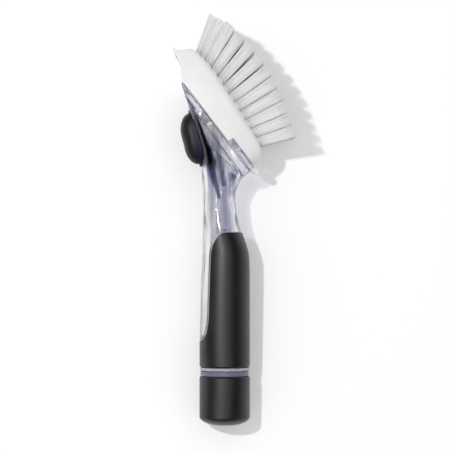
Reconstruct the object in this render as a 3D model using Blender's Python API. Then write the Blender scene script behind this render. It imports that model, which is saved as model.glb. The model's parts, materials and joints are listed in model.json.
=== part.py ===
"""A soap-dispensing scrub brush, built in metres as an assembly of separate pieces.

The brush is drawn in a frame of its own: X points towards the bristles, Y runs along the handle from the
end of the cap to the toe of the head, and Z runs across it. An empty then lays that frame on its side, as
the brush lies on a worktop, on the rim of the cap and on the tips of the outermost bristles.
"""

import math

import bmesh
import bpy
from mathutils import Matrix, Vector

mm = 0.001

# Fits
fit_gap = 0.3 * mm
slide_gap = 0.4 * mm
overrun = 4.0 * mm
cutter_reach = 60.0 * mm

# Screw cap, its soft skin, liner and gasket
cap_radius = 16.35 * mm
cap_length = 31.6 * mm
cap_dome_height = 5.3 * mm
cap_flat_radius = 5.0 * mm
cap_edge = 0.6 * mm
cap_skin_thickness = 1.8 * mm
cap_core_thickness = 1.9 * mm
cap_floor_thickness = 2.5 * mm
core_chamfer = 1.33 * mm
core_end_sink = 0.95 * mm
core_floor_root = 0.6 * mm
liner_thickness = 2.1 * mm
liner_edge = 0.4 * mm
gasket_thickness = 3.3 * mm
gasket_inset = 0.35 * mm
gasket_edge = 0.4 * mm
dome_power = 1.8

# Reservoir: neck, collar, handle and waist
neck_length = 15.6 * mm
neck_wall = 2.2 * mm
collar_thickness = 1.9 * mm
neck_shoulder = 3.0 * mm
body_radius = 16.1 * mm
reservoir_wall = 2.4 * mm
handle_rise = 114.0 * mm
cavity_blend = 12.0 * mm

# Soft grip and its window
grip_thickness = 1.8 * mm
grip_proud = 0.25 * mm
grip_length = 87.5 * mm
grip_edge = 0.7 * mm
window_start = 17.3 * mm
window_depth_low = 5.5 * mm
window_depth_high = 6.6 * mm
window_low_reach = 6.0 * mm
window_low_height = 18.0 * mm
window_high_reach = 10.0 * mm
window_high_height = 18.0 * mm

# Sloping platform that carries the head
toe_x = -27.4 * mm
toe_rise = 72.0 * mm
platform_angle = 37.2
flange_length = 72.3 * mm
flange_thickness = 5.2 * mm
flange_toe_thickness = 0.8 * mm
flange_toe_taper = 12.0 * mm
flange_edge = 0.6 * mm
rail_start = 49.0 * mm
rail_height = 3.9 * mm
rail_slot_half = 9.0 * mm
rail_inset = 0.5 * mm
wedge_half_width = 17.0 * mm
wedge_toe_inset = 6.0 * mm
wedge_heel_inset = 1.8 * mm
wedge_wall = 3.0 * mm

# Push button, its frame and its well
button_length = 37.3 * mm
button_width = 22.8 * mm
button_sink = 1.05 * mm
button_lean = 1.8
button_crown = 8.6 * mm
button_dish = 0.9 * mm
button_dish_offset = 1.9 * mm
button_dish_width = 6.0 * mm
button_wall = 1.8 * mm
button_travel = 3.0 * mm
frame_thickness = 1.3 * mm
frame_rise = 0.3 * mm
well_depth_top = 4.6 * mm
well_depth_bottom = 11.4 * mm
oval_power = 2.4
crown_power = 2.1

# Outlet: bore, slit valve, retainer and washer
outlet_bore = 1.5 * mm
outlet_depth = 10.4 * mm
valve_radius = 5.3 * mm
valve_thickness = 1.6 * mm
valve_dome = 0.5 * mm
retainer_thickness = 1.0 * mm
retainer_bore = 3.2 * mm
retainer_sink = 0.2 * mm
washer_thickness = 1.0 * mm
spout_radius = 4.2 * mm

# White head
head_length = 91.4 * mm
head_overhang = 21.3 * mm
head_height = 20.0 * mm
head_half_width = 23.3 * mm
head_wall = 2.2 * mm
head_rim = 4.6 * mm
pocket_floor = 12.4 * mm
plate_thickness = 2.2 * mm
hollow_start = 3.0 * mm
hollow_heel_wall = 3.1 * mm
opening_heel_reach = 10.1 * mm
opening_height = 6.6 * mm
anchor_heel_reach = 15.4 * mm
anchor_thickness = 1.6 * mm
anchor_clearance = 0.6 * mm

# Release tab
tab_half_width = 7.2 * mm
tab_length = 19.7 * mm
tab_thickness = 2.0 * mm
tab_lip = 4.4 * mm
tab_floor = 0.9 * mm
tab_step = 11.9 * mm

# Tufts
bed_toe_margin = 11.37 * mm
bed_heel_margin = 6.45 * mm
scallop_depth = 1.2 * mm
bed_rise = 0.6 * mm
tuft_margin = 1.8 * mm
tuft_radius = 1.1 * mm
bristle_length = 29.7 * mm
tip_half_width = 29.0 * mm
splay_along = 2.3 * mm
splay_across = 3.4 * mm
strand_radius = 0.45 * mm
strand_tip_radius = 0.36 * mm
strand_root = 0.8 * mm

# Counts
ring_sides = 32
turned_sides = 36
small_sides = 20
oval_sides = 32
station_steps = 2
dome_steps = 7
button_steps = 7
window_steps = 8
strands_per_tuft = 5
strand_sides = 3
round_power = 2.0
crease_angle = 35.0
rail_steps = 8
hollow_steps = 12
flange_steps = 2
scallop_steps = 4

# Height up the handle as a share of its rise, then back, front and half width as shares of the body's radius
handle_shares = (
    (0.0, 1.0, 1.0, 1.0),
    (0.215, 1.0, 1.0, 1.0),
    (0.443, 0.963, 1.0, 0.994),
    (0.618, 0.913, 0.988, 0.97),
    (0.68, 0.89, 0.94, 0.945),
    (0.741, 0.885, 0.80, 0.91),
    (0.803, 0.876, 0.64, 0.87),
    (0.864, 0.876, 0.54, 0.815),
    (0.925, 0.88, 0.455, 0.775),
    (1.0, 0.888, 0.435, 0.76),
)

# Head wedge: place and bulge of the back line as shares of the spine, place of the front line as shares of
# its rise in X and Y, half width as a share of the wedge's, and the power of the section
wedge_shares = (
    (0.126, -0.018, 0.19, 0.28, 0.77, 2.1),
    (0.268, -0.034, 0.47, 0.54, 0.84, 2.4),
    (0.41, -0.05, 0.69, 0.71, 0.91, 2.9),
    (0.549, -0.0375, 0.82, 0.80, 0.96, 3.2),
    (0.672, -0.029, 0.89, 0.87, 1.0, 3.3),
    (0.797, -0.0144, 0.94, 0.92, 1.0, 3.2),
    (0.929, -0.0075, 0.97, 0.965, 0.98, 3.0),
    (1.0, 0.0, 1.0, 1.0, 0.95, 2.8),
)
cavity_end_share = 0.62
button_place_share = 0.546

# Place along the flange, and half width as a share of the head's
flange_shares = (
    (0.0, 0.40),
    (0.03, 0.60),
    (0.07, 0.73),
    (0.14, 0.85),
    (0.28, 0.95),
    (0.48, 1.0),
    (0.69, 0.975),
    (0.83, 0.90),
    (0.91, 0.80),
    (0.97, 0.67),
    (1.0, 0.50),
)

# Place along the head, underside and top as shares of its height, and half width as a share of its own
head_shares = (
    (0.0, 0.39, 0.445, 0.49),
    (0.021, 0.365, 0.485, 0.515),
    (0.054, 0.33, 0.62, 0.54),
    (0.073, 0.315, 0.83, 0.575),
    (0.105, 0.30, 0.92, 0.62),
    (0.146, 0.26, 0.955, 0.70),
    (0.161, 0.18, 0.96, 0.725),
    (0.177, 0.12, 0.965, 0.755),
    (0.202, 0.065, 0.975, 0.79),
    (0.233, 0.0, 0.985, 0.833),
    (0.321, 0.0, 0.99, 0.914),
    (0.452, 0.0, 0.96, 0.974),
    (0.594, 0.0, 0.91, 1.0),
    (0.758, 0.0, 0.835, 0.983),
    (0.889, 0.0, 0.80, 0.91),
    (0.939, 0.0, 0.75, 0.83),
    (0.969, 0.015, 0.665, 0.73),
    (0.988, 0.075, 0.565, 0.62),
    (1.0, 0.165, 0.46, 0.49),
)

# Section of the head: shares of the half width and of the height, from the middle of the underside to the top
head_section_shares = (
    (0.45, 0.0),
    (0.97, 0.0),
    (1.0, 0.05),
    (1.0, 0.42),
    (0.99, 0.78),
    (0.95, 0.93),
    (0.88, 1.0),
    (0.45, 1.0),
)

# Lip of the release tab: how far before its end and how far above its underside, as shares of the lip
tab_lip_shares = (
    (0.6, 0.0),
    (0.2, 0.18),
    (0.0, 0.48),
    (0.06, 0.8),
    (0.28, 1.0),
    (0.6, 1.0),
)
tab_step_share = 0.86

# Tufts in each column across the head, how far the column leans, and its width, length and flare as shares
tuft_counts = (4, 5, 6, 6, 6, 6, 6, 6, 6, 6, 5, 4)
column_lean_angles = (-31.5, -27.2, -23.8, -18.6, -11.4, -4.8, 0.1, 4.0, 8.5, 12.6, 16.6, 21.4)
column_width_shares = (0.63, 0.63, 1.0, 1.0, 1.0, 1.0, 1.0, 1.0, 1.0, 1.0, 1.0, 1.0)
column_length_shares = (0.885, 0.91, 0.965, 0.975, 0.985, 0.99, 0.975, 0.955, 0.915, 0.86, 0.82, 0.775)
column_flare_shares = (1.0, 1.0, 1.0, 1.0, 1.0, 1.0, 1.0, 1.0, 1.0, 0.99, 0.97, 0.93)

# Columns of tufts in each slice of the bed
slice_counts = (2, 2, 2, 1, 2, 2, 1)

# Heights along the handle that follow from the sizes above
gasket_y = cap_length + fit_gap
collar_y = gasket_y + gasket_thickness + fit_gap
grip_recess_y = collar_y + collar_thickness
grip_end_y = grip_recess_y + fit_gap + grip_length
toe_y = collar_y + handle_rise + toe_rise
neck_end_y = collar_y - neck_length
liner_y = neck_end_y - fit_gap - liner_thickness
cap_floor_y = liner_y - fit_gap
cap_core_radius = cap_radius - cap_skin_thickness - fit_gap
cap_bore = cap_core_radius - cap_core_thickness
neck_radius = cap_bore - slide_gap
neck_bore = neck_radius - neck_wall
head_ceiling = pocket_floor - plate_thickness
heel_place = head_length - head_overhang
hollow_end = heel_place - hollow_heel_wall
opening_start = heel_place - opening_heel_reach
anchor_start = heel_place - anchor_heel_reach
tuft_pitch = (head_length - bed_toe_margin - bed_heel_margin) / sum(column_width_shares)
outlet_column = len(tuft_counts) // 2


def clear_scene():
    """Remove what the file opened with."""
    for item in list(bpy.data.objects):
        bpy.data.objects.remove(item, do_unlink=True)


def plastic(name, colour, roughness, transmission=0.0):
    """A Principled material in one colour."""
    material = bpy.data.materials.new(name)
    material.use_nodes = True
    shader = material.node_tree.nodes["Principled BSDF"]
    shader.inputs["Base Color"].default_value = (*colour, 1.0)
    shader.inputs["Roughness"].default_value = roughness
    shader.inputs["Metallic"].default_value = 0.0
    shader.inputs["Transmission Weight"].default_value = transmission
    material.diffuse_color = (*colour, 1.0)
    return material


def frame_empty(name, parent, location, angle=0.0):
    """An empty that carries pieces, turned about Z."""
    empty = bpy.data.objects.new(name, None)
    bpy.context.collection.objects.link(empty)
    empty.parent = parent
    empty.location = location
    empty.rotation_euler = (0.0, 0.0, angle)
    return empty


def add_piece(name, mesh, parent, material=None, location=(0.0, 0.0, 0.0)):
    """Turn a closed bmesh into an object under its parent, with its normals out and its edges shaded."""
    bmesh.ops.recalc_face_normals(mesh, faces=mesh.faces)
    data = bpy.data.meshes.new(name)
    mesh.to_mesh(data)
    mesh.free()
    data.shade_smooth()
    data.set_sharp_from_angle(angle=math.radians(crease_angle))
    piece = bpy.data.objects.new(name, data)
    bpy.context.collection.objects.link(piece)
    piece.parent = parent
    piece.location = location
    if material:
        data.materials.append(material)
    return piece


def combine(piece, other, operation):
    """Join another solid to a piece or cut it out, and hide the other as a guide."""
    step = piece.modifiers.new(other.name, "BOOLEAN")
    step.operation = operation
    step.solver = "EXACT"
    step.object = other
    other.hide_render = True
    other.display_type = "WIRE"


def stitch(mesh, lower, upper):
    """Fill the strip between two loops of equal count."""
    count = len(lower)
    for i in range(count):
        j = (i + 1) % count
        mesh.faces.new((lower[i], lower[j], upper[j], upper[i]))


def skin(rings, closed=False):
    """A closed solid through rings of points: a tube, or else filled at its two ends."""
    mesh = bmesh.new()
    loops = [[mesh.verts.new(point) for point in ring] for ring in rings]
    for lower, upper in zip(loops, loops[1:]):
        stitch(mesh, lower, upper)
    if closed:
        stitch(mesh, loops[-1], loops[0])
    else:
        mesh.faces.new(list(reversed(loops[0])))
        mesh.faces.new(loops[-1])
    return mesh


def turned(profile, sides, closed=False):
    """A solid of revolution about Y from (radius, height) points."""
    rings = []
    for radius, height in profile:
        turns = [math.tau * i / sides for i in range(sides)]
        rings.append([Vector((radius * math.sin(t), height, -radius * math.cos(t))) for t in turns])
    return skin(rings, closed)


def superellipse(angle, power):
    """Unit point of a superellipse at an angle."""
    c = math.cos(angle)
    s = math.sin(angle)
    return math.copysign(abs(c) ** (2 / power), c), math.copysign(abs(s) ** (2 / power), s)


def spline(rows, steps):
    """Rows of numbers on a smooth curve through the given rows, with this many steps to a stretch."""
    smooth = []
    last = len(rows) - 1
    for i in range(last):
        near = (rows[max(i - 1, 0)], rows[i], rows[i + 1], rows[min(i + 2, last)])
        for k in range(steps):
            t = k / steps
            smooth.append([between(a, b, c, d, t) for a, b, c, d in zip(*near)])
    smooth.append(list(rows[-1]))
    return smooth


def between(a, b, c, d, t):
    """Catmull-Rom value between b and c."""
    return b + 0.5 * t * (c - a + t * (2 * a - 5 * b + 4 * c - d + t * (3 * (b - c) + d - a)))


def read_row(rows, place):
    """The row of a table at a place in its first column, straight between its entries."""
    for low, high in zip(rows, rows[1:]):
        if place <= high[0]:
            break
    t = min(max((place - low[0]) / (high[0] - low[0]), 0.0), 1.0)
    return [a + (b - a) * t for a, b in zip(low, high)]


def turn_of_platform():
    """Angle about Z that carries X onto the platform's direction from toe to heel."""
    return math.radians(platform_angle - 90.0)


def platform_point(along, up):
    """A point of the platform's frame, in the brush's frame."""
    turn = Matrix.Rotation(turn_of_platform(), 2)
    return Vector((toe_x, toe_y)) + turn @ Vector((along, up))


def handle_rows():
    """Sections from the collar to the platform: back point, front point, half width and power."""
    rows = []
    for height, back, front, half in handle_shares:
        y = collar_y + height * handle_rise
        rows.append((-back * body_radius, y, front * body_radius, y, half * body_radius, round_power))
    waist_back, spine, outward = spine_line()
    waist_front = Vector(rows[-1][2:4])
    rise = platform_point(flange_length - wedge_heel_inset, -flange_thickness / 2) - waist_front
    for place, bulge, rise_x, rise_y, half, power in wedge_shares:
        back = waist_back + spine * place + outward * bulge
        front = waist_front + Vector((rise.x * rise_x, rise.y * rise_y))
        rows.append((*back, *front, half * wedge_half_width, power))
    return rows


def spine_line():
    """The back of the head wedge: its start, its run to the toe, and that run turned outwards."""
    height, back, _, _ = handle_shares[-1]
    waist_back = Vector((-back * body_radius, collar_y + height * handle_rise))
    spine = platform_point(wedge_toe_inset, -flange_thickness / 2) - waist_back
    return waist_back, spine, Vector((-spine.y, spine.x))


def section_ring(row, inset=0.0):
    """One section of the reservoir, drawn in by an inset."""
    back = Vector((row[0], row[1], 0.0))
    front = Vector((row[2], row[3], 0.0))
    centre = (back + front) / 2
    reach = (front - back) / 2
    reach_in = reach * (1 - inset / reach.length)
    half = row[4] - inset
    ring = []
    for i in range(ring_sides):
        c, s = superellipse(math.tau * (i + 0.5) / ring_sides, row[5])
        ring.append(centre + reach_in * c + Vector((0.0, 0.0, half * s)))
    return ring


def row_at(rows, y):
    """The handle's section at a height, straight between its neighbours."""
    table = [(row[1], *row) for row in rows]
    return read_row(table, y)[1:]


def window_outline(gap):
    """Edge of the window seen from the side, the clear side to its left, moved into the grip by a gap."""
    low_x = window_depth_low - body_radius + gap
    high_x = window_depth_high - body_radius + gap
    low_y = grip_recess_y + window_start - gap
    high_y = grip_end_y - gap
    points = []
    for i in range(window_steps + 1):
        t = math.pi / 2 * i / window_steps
        x = low_x - window_low_reach * (1 - math.sin(t))
        points.append((x, low_y + window_low_height * (1 - math.cos(t))))
    for i in range(window_steps + 1):
        t = math.pi / 2 * i / window_steps
        x = high_x + window_high_reach * (1 - math.cos(t))
        points.append((x, high_y - window_high_height * (1 - math.sin(t))))
    points.append((cutter_reach, high_y))
    points.append((cutter_reach, high_y + cutter_reach))
    points.append((-cutter_reach, high_y + cutter_reach))
    points.append((-cutter_reach, low_y))
    return points


def window_cutter(name, parent, gap):
    """A prism right through the brush that leaves of a sleeve only what the grip covers."""
    outline = window_outline(gap)
    rings = [[Vector((x, y, z)) for x, y in outline] for z in (-cutter_reach, cutter_reach)]
    return add_piece(name, skin(rings), parent)


def sleeve(name, parent, material, low_y, inner_inset, outer_inset, edge, gap):
    """A sleeve between two insets of the handle's section, cut to the edge of the window."""
    rows = spline(handle_rows(), station_steps)
    high_y = grip_end_y + overrun
    heights = [low_y, low_y + edge]
    heights += [row[1] for row in rows if low_y + 2 * edge < row[1] < high_y]
    heights.append(high_y)
    sections = [row_at(rows, y) for y in heights]
    outer = [section_ring(row, outer_inset) for row in sections]
    outer[0] = section_ring(sections[0], outer_inset + edge)
    inner = [section_ring(row, inner_inset) for row in sections]
    piece = add_piece(name, skin(outer + inner[::-1], closed=True), parent, material)
    combine(piece, window_cutter(name + "_window", parent, gap), "DIFFERENCE")
    return piece


def flange_half(along):
    """Half width of the platform at a place from its toe."""
    return head_half_width * read_row(spline(flange_shares, flange_steps), along / flange_length)[1]


def flange_solid():
    """The platform: a slab that thins to an edge at the toe, with its edges broken."""
    rings = []
    for share, half_share in spline(flange_shares, flange_steps):
        along = share * flange_length
        half = half_share * head_half_width
        taper = min(along / flange_toe_taper, 1.0)
        depth = flange_toe_thickness + (flange_thickness - flange_toe_thickness) * taper
        edge = min(flange_edge, depth / 3)
        side = ((half - edge, 0.0), (half, -edge), (half, edge - depth), (half - edge, -depth))
        ring = [Vector((along, n, z)) for z, n in side]
        ring += [Vector((along, n, -z)) for z, n in reversed(side)]
        rings.append(ring)
    return skin(rings)


def rail_solid(side):
    """One of the two raised walls that flank the heel of the head."""
    end = flange_length - rail_inset
    rings = []
    for i in range(rail_steps + 1):
        along = rail_start + (end - rail_start) * i / rail_steps
        outer = side * (flange_half(along) - rail_inset)
        inner = side * rail_slot_half
        low = -flange_thickness / 2
        corners = ((inner, low), (outer, low), (outer, rail_height), (inner, rail_height))
        rings.append([Vector((along, n, z)) for z, n in corners])
    return skin(rings)


def cavity_solid(rows):
    """The hollow of the reservoir, from below the neck's mouth to the chamber behind the button."""
    bore = (-neck_bore, neck_end_y - overrun, neck_bore, neck_end_y - overrun, neck_bore, round_power)
    throat = (-neck_bore, grip_recess_y, neck_bore, grip_recess_y, neck_bore, round_power)
    rings = [section_ring(bore), section_ring(throat)]
    deep = grip_thickness + fit_gap + reservoir_wall
    waist_back, spine, _ = spine_line()
    end_y = waist_back.y + spine.y * cavity_end_share
    for row in rows:
        if not grip_recess_y + neck_shoulder < row[1] < end_y:
            continue
        wall = wedge_wall if row[1] > waist_back.y else reservoir_wall
        blend = min(max((row[1] - grip_end_y) / cavity_blend, 0.0), 1.0)
        rings.append(section_ring(row, deep + (wall - deep) * blend))
    return skin(rings)


def oval_ring(inset, height, scale=1.0):
    """A ring of the button's outline, drawn in by an inset, at a height that follows the place along it."""
    ring = []
    for i in range(oval_sides):
        c, s = superellipse(math.tau * (i + 0.5) / oval_sides, oval_power)
        x = c * (button_length / 2 - inset) * scale
        z = s * (button_width / 2 - inset) * scale
        ring.append(Vector((x, height(x), z)))
    return ring


def well_floor(x):
    """Depth of the button's well, deeper towards the handle."""
    middle = (well_depth_top + well_depth_bottom) / 2
    return (well_depth_bottom - well_depth_top) / button_length * x - middle


def crown(x, inset, scale):
    """Height of the button over its seat: a hump with a dish for the thumb."""
    dish = button_dish * math.exp(-(((x + button_dish_offset) / button_dish_width) ** 2))
    edge = (1 - min(scale, 1.0) ** crown_power) ** (1 / crown_power)
    return (button_crown - dish - inset) * edge


def button_solid():
    """The button: a hollow dome with a skirt that reaches into the well."""
    outer_inset = frame_thickness + slide_gap
    inner_inset = outer_inset + button_wall
    travel = button_travel + slide_gap
    scales = [math.cos(math.pi / 2 * i / (button_steps + 0.5)) for i in range(button_steps + 1)]
    inner = [oval_ring(inner_inset, lambda x: well_floor(x) + travel)]
    outer = [oval_ring(outer_inset, lambda x: well_floor(x) + travel)]
    for scale in scales:
        inner.append(oval_ring(inner_inset, lambda x, s=scale: crown(x, button_wall, s), scale))
        outer.append(oval_ring(outer_inset, lambda x, s=scale: crown(x, 0.0, s), scale))
    return skin(inner[::-1] + outer)


def frame_solid():
    """The oval frame that lines the well and stands a little above it."""
    inner_inset = frame_thickness
    rings = [
        oval_ring(0.0, lambda x: frame_rise),
        oval_ring(0.0, lambda x: well_floor(x) + fit_gap),
        oval_ring(inner_inset, lambda x: well_floor(x) + fit_gap),
        oval_ring(inner_inset, lambda x: frame_rise),
    ]
    return skin(rings, closed=True)


def well_solid():
    """What the well takes out of the wedge."""
    return skin([oval_ring(-fit_gap, well_floor), oval_ring(-fit_gap, lambda x: well_depth_bottom)])


def head_row(along):
    """Underside, top and half width of the head at a place along the platform."""
    share = (along + head_overhang) / head_length
    _, low, high, half = read_row(head_shares, share)
    return fit_gap + low * head_height, high * head_height, half * head_half_width


def head_solid():
    """The outside of the head, skinned through its sections from the scraper's edge to the heel."""
    rings = []
    for share, low, high, half_share in head_shares:
        along = share * head_length - head_overhang
        bottom = fit_gap + low * head_height
        height = high * head_height - bottom
        half = half_share * head_half_width
        right = [Vector((along, bottom + n * height, z * half)) for z, n in head_section_shares]
        left = [Vector((p.x, p.y, -p.z)) for p in reversed(right)]
        rings.append(right + left)
    return skin(rings)


def hollow_solid():
    """The room under the head's plate, open to the platform."""
    outline = []
    for i in range(hollow_steps + 1):
        along = hollow_start + (hollow_end - hollow_start) * i / hollow_steps
        outline.append((along, head_row(along)[2] - head_wall))
    return plan_prism(outline, -overrun, head_ceiling)


def plan_prism(outline, low, high):
    """A prism over a plan that is alike on both sides, from (place, half width) points."""
    plan = outline + [(along, -half) for along, half in reversed(outline)]
    return skin([[Vector((along, n, half)) for along, half in plan] for n in (low, high)])


def box(low, high):
    """A block between two corners."""
    corners = ((low[0], low[2]), (high[0], low[2]), (high[0], high[2]), (low[0], high[2]))
    return skin([[Vector((x, y, z)) for x, z in corners] for y in (low[1], high[1])])


def column_start(column):
    """Place along the platform where a column's strip of the bed begins."""
    return bed_toe_margin - head_overhang + tuft_pitch * sum(column_width_shares[:column])


def column_place(column):
    """Place of a column of tufts along the platform."""
    return (column_start(column) + column_start(column + 1)) / 2


def slice_columns():
    """The columns of tufts that each slice of the bed carries, from the toe."""
    slices = []
    first = 0
    for count in slice_counts:
        slices.append(range(first, first + count))
        first += count
    return slices


def bed_edge(along, grow=0.0):
    """Half width of the bristle bed, scalloped round each column of tufts."""
    column = sum(along > column_start(later) for later in range(1, len(tuft_counts)))
    start = column_start(column)
    phase = math.pi * (along - start) / (column_start(column + 1) - start)
    return head_row(along)[2] - head_rim + scallop_depth * abs(math.sin(phase)) + grow


def bed_outline(first, last, grow):
    """Plan of the bed from one column to another, grown or shrunk at its ends and sides."""
    places = []
    for column in range(first, last + 1):
        start = column_start(column)
        width = column_start(column + 1) - start
        places += [start + width * i / scallop_steps for i in range(scallop_steps)]
    places.append(column_start(last + 1))
    outline = [(along, bed_edge(along, max(grow, 0.0))) for along in places]
    outline[0] = (outline[0][0] - grow, outline[0][1])
    outline[-1] = (outline[-1][0] + grow, outline[-1][1])
    return outline


def slice_top(columns):
    """Height of a slice of the bed along the head, straight from one of its ends to the other."""
    start = column_start(columns[0])
    end = column_start(columns[-1] + 1)
    low = head_row(start)[1] + bed_rise
    high = head_row(end)[1] + bed_rise
    return lambda along: low + (high - low) * (along - start) / (end - start)


def slice_solid(columns):
    """One slice of the scalloped backing that holds the tufts."""
    outline = bed_outline(columns[0], columns[-1], -fit_gap / 2)
    plan = outline + [(along, -half) for along, half in reversed(outline)]
    top = slice_top(columns)
    low_ring = [Vector((along, pocket_floor + fit_gap, half)) for along, half in plan]
    high_ring = [Vector((along, top(along), half)) for along, half in plan]
    return skin([low_ring, high_ring])


def tufts_of(column):
    """Base and tip of each tuft of a column, in the platform's frame, with the side that it lies on."""
    along = column_place(column)
    lean = math.radians(column_lean_angles[column])
    length = bristle_length * column_length_shares[column]
    columns = [group for group in slice_columns() if column in group][0]
    base_n = slice_top(columns)(along)
    outer = bed_edge(column_start(column)) - tuft_margin
    flare = tip_half_width * column_flare_shares[column] - splay_across
    rows = tuft_counts[column]
    tufts = []
    for i in range(rows):
        place = 2 * i / (rows - 1) - 1
        base = Vector((along, base_n, outer * place))
        across = (flare - outer) * place
        tip = base + Vector((length * math.sin(lean), length * math.cos(lean), across))
        tufts.append((base, tip, math.copysign(1.0, place)))
    return tufts


def strand_ends(tuft, k):
    """Root and tip of one strand of a tuft: they stand on a ring and splay outwards."""
    base, tip, side = tuft
    turn = side * math.pi / 2 + math.tau * k / strands_per_tuft
    direction = Vector((math.cos(turn), 0.0, math.sin(turn)))
    root = base + direction * tuft_radius - Vector((0.0, strand_root, 0.0))
    end = tip + Vector((direction.x * splay_along, 0.0, direction.z * splay_across))
    return root, end


def strands_solid(columns):
    """All strands of a slice, each a thin tapered prism."""
    mesh = bmesh.new()
    for column in columns:
        for tuft in tufts_of(column):
            for k in range(strands_per_tuft):
                root, end = strand_ends(tuft, k)
                loops = []
                for point, radius in ((root, strand_radius), (end, strand_tip_radius)):
                    turns = [math.tau * i / strand_sides for i in range(strand_sides)]
                    ring = [point + Vector((radius * math.cos(t), 0.0, radius * math.sin(t))) for t in turns]
                    loops.append([mesh.verts.new(corner) for corner in ring])
                stitch(mesh, loops[0], loops[1])
                mesh.faces.new(loops[0][::-1])
                mesh.faces.new(loops[1])
    return mesh


def tab_solid():
    """The release tab: a flat tongue that thickens outside the heel and ends in a rounded lip."""
    top = tab_floor + tab_thickness
    outline = [(0.0, tab_floor)]
    outline += [(tab_length - tab_lip * back, tab_floor + tab_lip * up) for back, up in tab_lip_shares]
    outline.append((tab_step, tab_floor + tab_lip * tab_step_share))
    outline.append((tab_step - tab_thickness, top))
    outline.append((0.0, top))
    return skin([[Vector((x, y, z)) for x, y in outline] for z in (-tab_half_width, tab_half_width)])


def build_handle(brush, platform, seat, materials):
    """Clear body, grip, button frame and valve: what stays with the hand."""
    rows = spline(handle_rows(), station_steps)
    body = add_piece("handle_body", skin([section_ring(row) for row in rows]), brush, materials["clear"])
    neck_profile = ((neck_radius, neck_end_y), (neck_radius, collar_y + collar_thickness / 2))
    combine(body, add_piece("neck_tube", turned(neck_profile, turned_sides), brush), "UNION")
    combine(body, add_piece("platform_slab", flange_solid(), platform), "UNION")
    for side, name in ((1, "rail_left"), (-1, "rail_right")):
        combine(body, add_piece(name, rail_solid(side), platform), "UNION")
    recess_inset = grip_thickness + fit_gap
    recess = sleeve("grip_recess", brush, None, grip_recess_y, recess_inset, -overrun, 0.0, 0.0)
    combine(body, recess, "DIFFERENCE")
    combine(body, add_piece("reservoir_hollow", cavity_solid(rows), brush), "DIFFERENCE")
    combine(body, add_piece("button_well", well_solid(), seat), "DIFFERENCE")
    grip_low = grip_recess_y + fit_gap
    sleeve("grip_sleeve", brush, materials["grip"], grip_low, grip_thickness, -grip_proud, grip_edge, fit_gap)
    add_piece("button_frame", frame_solid(), seat, materials["frame"])
    build_valve(body, platform, materials)


def build_valve(body, platform, materials):
    """The outlet through the platform, with its slit valve and the ring that holds it."""
    place = (column_place(outlet_column), 0.0, 0.0)
    pocket_depth = retainer_sink + retainer_thickness + valve_thickness + 2 * fit_gap
    bore = turned(((outlet_bore, -outlet_depth), (outlet_bore, overrun)), small_sides)
    combine(body, add_piece("outlet_bore", bore, platform, None, place), "DIFFERENCE")
    pocket = turned(((valve_radius + fit_gap, -pocket_depth), (valve_radius + fit_gap, overrun)), small_sides)
    combine(body, add_piece("valve_pocket", pocket, platform, None, place), "DIFFERENCE")
    low = fit_gap - pocket_depth
    high = low + valve_thickness
    rim = (valve_radius, low), (valve_radius, high)
    crown_of_valve = (retainer_bore - fit_gap, high), (outlet_bore, high + valve_dome)
    valve = turned((*rim, *crown_of_valve), small_sides)
    add_piece("soap_valve", valve, platform, materials["silicone"], place)
    ring_low = high + fit_gap
    ring_high = ring_low + retainer_thickness
    ring = (
        (valve_radius, ring_low),
        (valve_radius, ring_high),
        (retainer_bore, ring_high),
        (retainer_bore, ring_low),
    )
    add_piece("valve_retainer", turned(ring, small_sides, closed=True), platform, materials["white"], place)


def build_button(button_axis, materials):
    """The push button, in the frame of its slide."""
    add_piece("button", button_solid(), button_axis, materials["button"])


def build_cap(cap_axis, gasket_axis, materials):
    """Screw cap with its skin and liner, and the gasket above it."""
    core_low = cap_skin_thickness + fit_gap
    shoulder = cap_dome_height
    core_profile = (
        (cap_bore, cap_floor_y),
        (cap_bore, cap_length),
        (cap_core_radius, cap_length),
        (cap_core_radius, shoulder),
        (cap_core_radius - core_chamfer, core_low + core_end_sink),
        (cap_bore - core_floor_root, core_low + core_end_sink),
        (cap_bore - core_floor_root, cap_floor_y - cap_floor_thickness),
    )
    add_piece("cap_core", turned(core_profile, turned_sides), cap_axis, materials["frame"])
    inner_radius = cap_core_radius + fit_gap
    skin_profile = [
        (cap_flat_radius, cap_skin_thickness),
        (cap_bore, cap_skin_thickness + fit_gap),
        (inner_radius, shoulder - fit_gap),
        (inner_radius, cap_length),
        (cap_radius - cap_edge, cap_length),
        (cap_radius, cap_length - cap_edge),
    ]
    for i in range(dome_steps + 1):
        c, s = superellipse(math.pi / 2 * i / dome_steps, dome_power)
        radius = cap_flat_radius + (cap_radius - cap_flat_radius) * c
        skin_profile.append((radius, cap_dome_height * (1 - s)))
    add_piece("cap_skin", turned(skin_profile, turned_sides), cap_axis, materials["grip"])
    liner_radius = cap_bore - fit_gap
    liner_profile = (
        (liner_radius - liner_edge, liner_y),
        (liner_radius, liner_y + liner_edge),
        (liner_radius, liner_y + liner_thickness - liner_edge),
        (liner_radius - liner_edge, liner_y + liner_thickness),
    )
    add_piece("cap_liner", turned(liner_profile, turned_sides), cap_axis, materials["silicone"])
    bore = neck_radius + slide_gap
    rim = body_radius - gasket_inset
    gasket_profile = (
        (bore, gasket_y),
        (rim - gasket_edge, gasket_y),
        (rim, gasket_y + gasket_edge),
        (rim, gasket_y + gasket_thickness - gasket_edge),
        (rim - gasket_edge, gasket_y + gasket_thickness),
        (bore, gasket_y + gasket_thickness),
    )
    gasket = turned(gasket_profile, turned_sides, closed=True)
    add_piece("cap_gasket", gasket, gasket_axis, materials["gasket"])


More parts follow.
